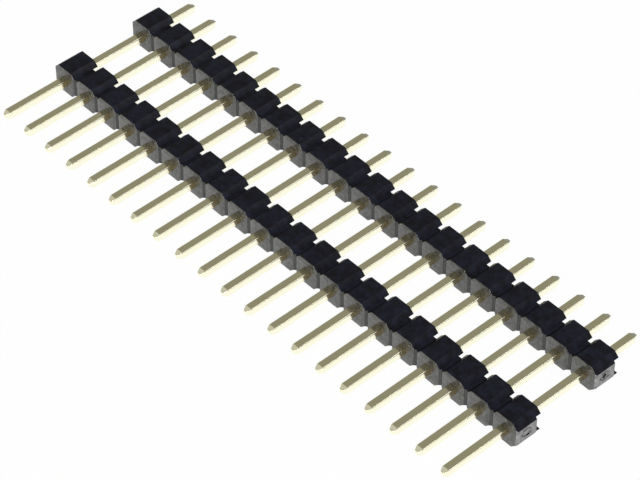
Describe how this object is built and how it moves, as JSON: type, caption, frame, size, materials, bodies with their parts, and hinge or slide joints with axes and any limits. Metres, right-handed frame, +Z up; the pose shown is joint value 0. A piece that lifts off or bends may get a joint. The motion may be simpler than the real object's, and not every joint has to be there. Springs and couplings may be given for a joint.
{
  "type": "board-to-board connector",
  "caption": "Row of square gold-plated pins held by two parallel black breakaway strips, which joins stacked circuit boards and sets the space between them.",
  "frame": {"origin": "centre of the bounding box's underside, on the flat the strips lie on", "axes": "+X along the row of pins, +Y along the pins from the mating tips to the solder tips, +Z up, square to the row and to the pins"},
  "size_m": [0.0508, 0.019, 0.0024],
  "materials": {
    "moulded_plastic": "black glass-filled moulding, slightly glossy",
    "gold_plating": "bright gold plating on square wire"
  },
  "bodies": {
    "root": {"front_strip": "moulded_plastic", "rear_strip": "moulded_plastic", "pin_01": "gold_plating", "pin_02": "gold_plating", "pin_03": "gold_plating", "pin_04": "gold_plating", "pin_05": "gold_plating", "pin_06": "gold_plating", "pin_07": "gold_plating", "pin_08": "gold_plating", "pin_09": "gold_plating", "pin_10": "gold_plating", "pin_11": "gold_plating", "pin_12": "gold_plating", "pin_13": "gold_plating", "pin_14": "gold_plating", "pin_15": "gold_plating", "pin_16": "gold_plating", "pin_17": "gold_plating", "pin_18": "gold_plating", "pin_19": "gold_plating", "pin_20": "gold_plating"}
  },
  "joints": []
}
